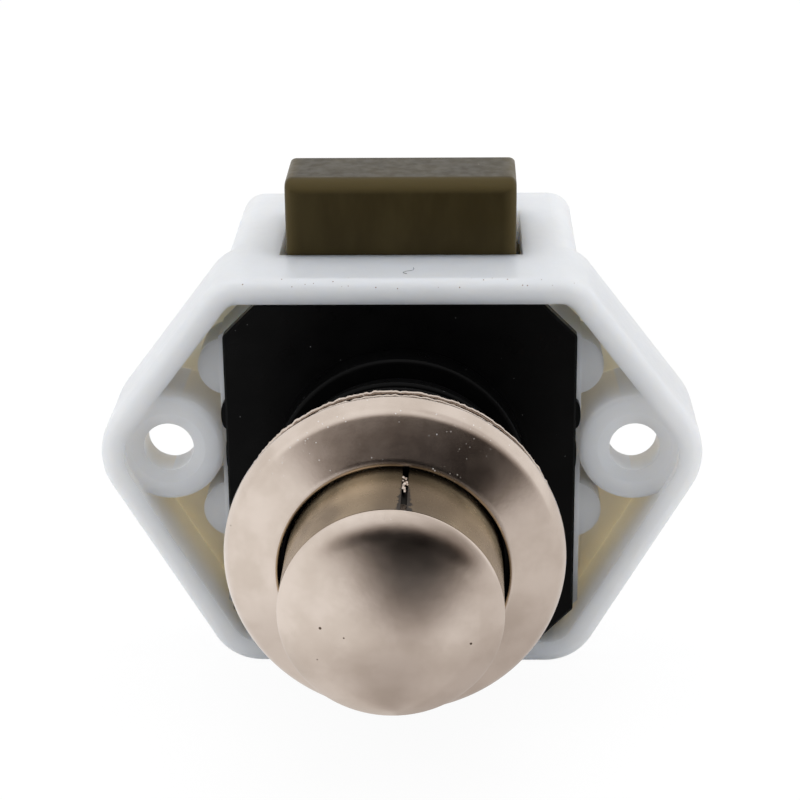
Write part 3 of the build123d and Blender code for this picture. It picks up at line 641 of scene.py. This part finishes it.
def neck_thread(bm):
    """The raised thread of the neck, from its relief to just behind the rosette."""
    end = node_place("rosette_shell")[1].y + THREAD_TO_RING
    turns = (THREAD_START - end) / THREAD_PITCH
    steps = int(turns * THREAD_STEPS)
    rings = []
    for i in range(steps + 1):
        turn = turns * i / steps
        y = THREAD_START - THREAD_PITCH * turn
        fade = min(1.0, turn / THREAD_END_TURNS, (turns - turn) / THREAD_END_TURNS)
        crest = THREAD_HEIGHT * max(THREAD_LOWEST_SHARE, fade) + THREAD_LAND
        section = (
            (0, -THREAD_HALF_FOOT), (crest, -THREAD_HALF_CREST),
            (crest, THREAD_HALF_CREST), (0, THREAD_HALF_FOOT),
        )
        rings.append([spoke(THREAD_ROOT + out, y + side, 2 * math.pi * turn) for out, side in section])
    swept_rings(bm, rings)


def crimp_ring(bm, radius, depth, thickness, seed):
    """One fold of the nickel shell's edge, crumpled where it was pressed round the ring."""
    rings = []
    for angle in steps_round(FOLD_STEPS):
        way = Vector((math.sin(angle), 0, math.cos(angle)))
        ripple = noise.noise(way * RIPPLE_WAVES + Vector((0, seed, 0)))
        crinkle = noise.noise(way * CRINKLE_WAVES + Vector((0, seed, CRINKLE_SEED)))
        middle = radius + RIPPLE_OUT * ripple + CRINKLE_OUT * crinkle
        y = depth + CRINKLE_BACK * crinkle - RIPPLE_BACK * ripple
        swell = thickness * (1 + CRINKLE_SWELL * crinkle)
        rings.append([
            spoke(middle + swell * math.cos(around), y + thickness * math.sin(around), angle)
            for around in steps_round(FOLD_SIDES)
        ])
    swept_rings(bm, rings, closed=True)


def turned(bm, profile):
    """A closed outline of radius and depth, turned about the neck's axis, with its sharp edges kept."""
    columns = []
    for radius, y in profile:
        if radius < AXIS_REACH:
            columns.append([bm.verts.new(spoke(0, y, 0))] * TURN_STEPS)
        else:
            columns.append([bm.verts.new(spoke(radius, y, angle)) for angle in steps_round(TURN_STEPS)])
    for first, second in zip(columns, columns[1:] + columns[:1]):
        for i in range(TURN_STEPS):
            j = (i + 1) % TURN_STEPS
            corners = list(dict.fromkeys((first[i], first[j], second[j], second[i])))
            if len(corners) > 2:
                bm.faces.new(corners)
    for edge in bm.edges:
        if len(edge.link_faces) == 2 and edge.calc_face_angle() > SHARP_ANGLE:
            edge.smooth = False


def bend(start, corner, end, steps=BEND_STEPS):
    """Points of a soft turn from one place to another, round a corner."""
    start, corner, end = Vector(start), Vector(corner), Vector(end)
    shares = [i / steps for i in range(steps + 1)]
    return [tuple(start * (1 - s) ** 2 + corner * 2 * s * (1 - s) + end * s ** 2) for s in shares]


def knob_face(bm):
    """The knob head with its soft shoulder, in the room of the stiff cap."""
    sphere = (DOME_RADIUS ** 2 + DOME_HEIGHT ** 2) / (2 * DOME_HEIGHT)
    outline = [(0, HEAD_FRONT)]
    for i in range(1, DOME_STEPS + 1):
        r = DOME_END * i / DOME_STEPS
        outline.append((r, HEAD_FRONT + sphere - math.sqrt(sphere ** 2 - r ** 2)))
    for corner, end in HEAD_SHOULDER:
        outline += bend(outline[-1], corner, end)[1:]
    outline += HEAD_BACK
    hollow_radius, hollow_rim = HEAD_BACK[-1]
    for i in range(1, HOLLOW_STEPS + 1):
        share = 1 - i / HOLLOW_STEPS
        outline.append((hollow_radius * share, hollow_rim - HOLLOW_HEIGHT * (1 - share ** 2)))
    turned(bm, outline)


def rosette_face(bm):
    """The nickel shell with its soft turn towards the edge, in the room of the stiff shell."""
    outline = bend(*ROSETTE_LIP)
    outline.append(ROSETTE_FACE_START)
    for corner, end, steps in ROSETTE_TURNS:
        outline += bend(outline[-1], corner, end, steps)[1:]
    outline += ROSETTE_BACK
    turned(bm, outline)


def lip_hem(bm):
    """The upper part of the opening's edge, hemmed inward towards the sleeve."""
    rings = []
    for i in range(HEM_STEPS + 1):
        share = 2 * i / HEM_STEPS - 1
        edge = HEM_EDGE - HEM_WIDTH * math.cos(share * math.pi / 2)
        corners = (
            (HEM_ROOT, HEM_ROOT_FRONT), (edge, HEM_EDGE_FRONT),
            (edge, HEM_EDGE_BACK), (HEM_ROOT, HEM_ROOT_BACK),
        )
        rings.append([spoke(radius, y, HEM_HALF_ANGLE * share) for radius, y in corners])
    swept_rings(bm, rings)


def hair(bm):
    """A fine dark hair that lies on the housing's top face."""
    rings = []
    for k in range(HAIR_RINGS):
        along = k / (HAIR_RINGS - 1) * (len(HAIR_ROUTE) - 1)
        i = min(int(along), len(HAIR_ROUTE) - 2)
        x, y = (a + (b - a) * (along - i) for a, b in zip(HAIR_ROUTE[i], HAIR_ROUTE[i + 1]))
        ring = []
        for around in steps_round(HAIR_SIDES):
            side, rise = HAIR_HALF * math.cos(around), HAIR_HALF * math.sin(around)
            ring.append(Vector((x + side, y + side, HAIR_HEIGHT + rise)) * MM)
        rings.append(ring)
    swept_rings(bm, rings)


def coil(bm, middle, size, start, end, axis):
    """A coil spring between two places along an axis."""
    radius, wire, turns = size
    steps = turns * COIL_STEPS
    rings = []
    for i in range(steps + 1):
        share = i / steps
        angle = 2 * math.pi * turns * share
        out = Vector((math.cos(angle), math.sin(angle), 0))
        rise = start + wire + (end - start - 2 * wire) * share
        rings.append([
            (radius + wire * math.cos(around)) * out + Vector((0, 0, rise + wire * math.sin(around)))
            for around in steps_round(WIRE_SIDES)
        ])
    if axis == "Y":
        rings = [[Vector((p.x, p.z, -p.y)) for p in ring] for ring in rings]
    swept_rings(bm, [[(middle + p) * MM for p in ring] for ring in rings])


def seam_crumbs():
    """Bright crumbs of torn plate along the sleeve's open seam."""
    rng = random.Random(CRUMB_SEED)
    for i in range(CRUMB_COUNT):
        y = CRUMB_FIRST - CRUMB_STEP * i - rng.uniform(0, CRUMB_STRAY)
        off = rng.uniform(CRUMB_LEFT, CRUMB_RIGHT) / CRUMB_REACH
        size = rng.uniform(CRUMB_SMALL, CRUMB_LARGE)

        def crumb(bm, place=spoke(CRUMB_REACH, y, SEAM_ANGLE + off), size=size, seed=i):
            bmesh.ops.create_icosphere(bm, subdivisions=2, radius=size * MM)
            for vert in bm.verts:
                vert.co *= 1 + CRUMB_ROUGH * noise.noise(vert.co * CRUMB_WAVES + Vector((seed, 0, 0)))
                vert.co.y *= CRUMB_STRETCH
            bmesh.ops.translate(bm, verts=bm.verts, vec=place)

        new_piece(f"seam_crumb_{i + 1}", crumb, "knob", "satin_nickel")


def moving_springs():
    """Coil springs in place of the stiff ones, each with a mesh of its own."""
    low, high = node_place("plunger_spring")
    plunger_coil = new_piece(
        "plunger_coil",
        lambda bm: coil(bm, Vector((0, 0, 0)), PLUNGER_COIL, low.y, high.y, "Y"),
        "lock_case", "spring_steel",
    )
    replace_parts(plunger_coil, "plunger_spring")
    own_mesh(plunger_coil)
    for word in ("left", "right"):
        low, high = node_place(f"bolt_spring_{word}")
        middle = (low + high) / 2
        middle.z = 0
        bolt_coil = new_piece(
            f"bolt_coil_{word}",
            lambda bm: coil(bm, middle, BOLT_COIL, low.z, high.z, "Z"),
            "lock_case", "spring_steel",
        )
        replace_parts(bolt_coil, f"bolt_spring_{word}")
        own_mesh(bolt_coil)


def white_card(level):
    """The floor's paper: white to the camera and through glass, the studio in metal, a soft shadow."""
    s = Shader("floor")
    s.bsdf.inputs["Specular IOR Level"].default_value = 0.0
    s.bsdf.inputs["Roughness"].default_value = 1.0
    tone = s.mix(s.noise(*FLOOR_CLOUDS), (FLOOR_WHITE,) * 3, (FLOOR_SHADE,) * 3)
    s.link(tone, s.bsdf.inputs["Base Color"])
    path = s.add("ShaderNodeLightPath")
    seen = s.math("MAXIMUM", path.outputs["Is Camera Ray"], path.outputs["Is Glossy Ray"])
    seen = s.math("MAXIMUM", seen, path.outputs["Is Transmission Ray"])
    glow = s.add("ShaderNodeEmission")
    lit = surround(s, KNOB_PLACE - Vector((0, 0, level)))
    s.link(s.mix(path.outputs["Is Glossy Ray"], (1.0, 1.0, 1.0), lit), glow.inputs["Color"])
    glow.inputs["Strength"].default_value = FLOOR_GLOW
    blend = s.add("ShaderNodeMixShader")
    s.link(s.math("MULTIPLY", seen, FLOOR_SHARE), blend.inputs[0])
    s.link(s.bsdf.outputs[0], blend.inputs[1])
    s.link(glow.outputs[0], blend.inputs[2])
    s.link(blend.outputs[0], s.nodes["Material Output"].inputs["Surface"])
    return s.material


def card(name, verts, faces, material):
    """A card on the stage."""
    mesh = bpy.data.meshes.new(name)
    mesh.from_pydata([tuple(v) for v in verts], [], faces)
    mesh.materials.append(material)
    obj = bpy.data.objects.new(name, mesh)
    bpy.context.scene.collection.objects.link(obj)
    return obj


def make_floor():
    """A plain pale floor under the lowest point of the lock."""
    half = FLOOR_SIDE / 2
    level = cad_box[0].z
    corners = [(-half, -half, 0), (half, -half, 0), (half, half, 0), (-half, half, 0)]
    floor = card("floor", corners, [(0, 1, 2, 3)], white_card(level))
    floor.location.z = level


def sky_card():
    """A curved card before the lock, dark in its middle, that only shows in what mirrors it."""
    s = Shader("sky_card")
    glow = s.add("ShaderNodeEmission")
    s.link(surround(s, (0, 0, 0)), glow.inputs["Color"])
    s.link(glow.outputs[0], s.nodes["Material Output"].inputs["Surface"])
    verts, faces = [], []
    for j in range(SKY_STEPS_UP + 1):
        elevation = math.radians(SKY_LOW + (SKY_HIGH - SKY_LOW) * j / SKY_STEPS_UP)
        for i in range(SKY_STEPS_ACROSS + 1):
            azimuth = math.radians(SKY_HALF * (2 * i / SKY_STEPS_ACROSS - 1))
            level = math.cos(elevation)
            way = Vector((math.sin(azimuth) * level, -math.cos(azimuth) * level, math.sin(elevation)))
            verts.append(way * SKY_RADIUS)
    row = SKY_STEPS_ACROSS + 1
    for j in range(SKY_STEPS_UP):
        for i in range(SKY_STEPS_ACROSS):
            k = j * row + i
            faces.append((k, k + 1, k + row + 1, k + row))
    sky = card("sky_card", verts, faces, s.material)
    sky.location = KNOB_PLACE
    sky.visible_camera = False
    sky.visible_shadow = False
    sky.visible_diffuse = False


def softbox(name, place, width, height, power):
    """A soft lamp that looks at the lock and doesn't show in the metal."""
    data = bpy.data.lights.new(name, "AREA")
    data.shape = "RECTANGLE"
    data.size = width
    data.size_y = height
    data.energy = power
    lamp = bpy.data.objects.new(name, data)
    lamp.location = place
    lamp.rotation_mode = "QUATERNION"
    lamp.rotation_quaternion = (-Vector(place)).to_track_quat("-Z", "Y")
    lamp.visible_glossy = False
    bpy.context.scene.collection.objects.link(lamp)


def make_world():
    """Soft light from all round, pure white where it is seen."""
    world = bpy.data.worlds.new("world")
    bpy.context.scene.world = world
    world.use_nodes = True
    tree = world.node_tree
    tree.nodes.clear()
    fill = tree.nodes.new("ShaderNodeBackground")
    fill.inputs["Color"].default_value = WORLD_COLOR
    fill.inputs["Strength"].default_value = WORLD_LEVEL
    white = tree.nodes.new("ShaderNodeBackground")
    white.inputs["Color"].default_value = (1, 1, 1, 1)
    white.inputs["Strength"].default_value = 1.0
    path = tree.nodes.new("ShaderNodeLightPath")
    seen = path.outputs["Is Camera Ray"]
    for ray in ("Is Glossy Ray", "Is Transmission Ray"):
        either = tree.nodes.new("ShaderNodeMath")
        either.operation = "MAXIMUM"
        tree.links.new(seen, either.inputs[0])
        tree.links.new(path.outputs[ray], either.inputs[1])
        seen = either.outputs[0]
    blend = tree.nodes.new("ShaderNodeMixShader")
    output = tree.nodes.new("ShaderNodeOutputWorld")
    for source, socket in zip((seen, fill.outputs[0], white.outputs[0]), blend.inputs):
        tree.links.new(source, socket)
    tree.links.new(blend.outputs[0], output.inputs["Surface"])


make_camera()
finishes = make_finishes()
for node_name, node_object in nodes.items():
    dress(node_object, slots[node_name])

new_piece("neck_thread", neck_thread, "lock_case", "cover_plastic")
for fold_name, fold in FOLDS.items():
    new_piece(fold_name, lambda bm: crimp_ring(bm, *fold), "rosette", "satin_nickel")
new_piece("lip_hem", lip_hem, "rosette", "sleeve_nickel", smooth=False)
new_piece("hair", hair, "lock_case", "cover_plastic")
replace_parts(new_piece("rosette_face", rosette_face, "rosette", "satin_nickel"), "rosette_shell")
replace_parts(new_piece("knob_face", knob_face, "knob", "satin_nickel"), "knob_cap")
seam_crumbs()
moving_springs()

make_floor()
sky_card()
for box in SOFTBOXES:
    softbox(*box)
make_world()

bpy.context.scene.view_settings.view_transform = "Standard"
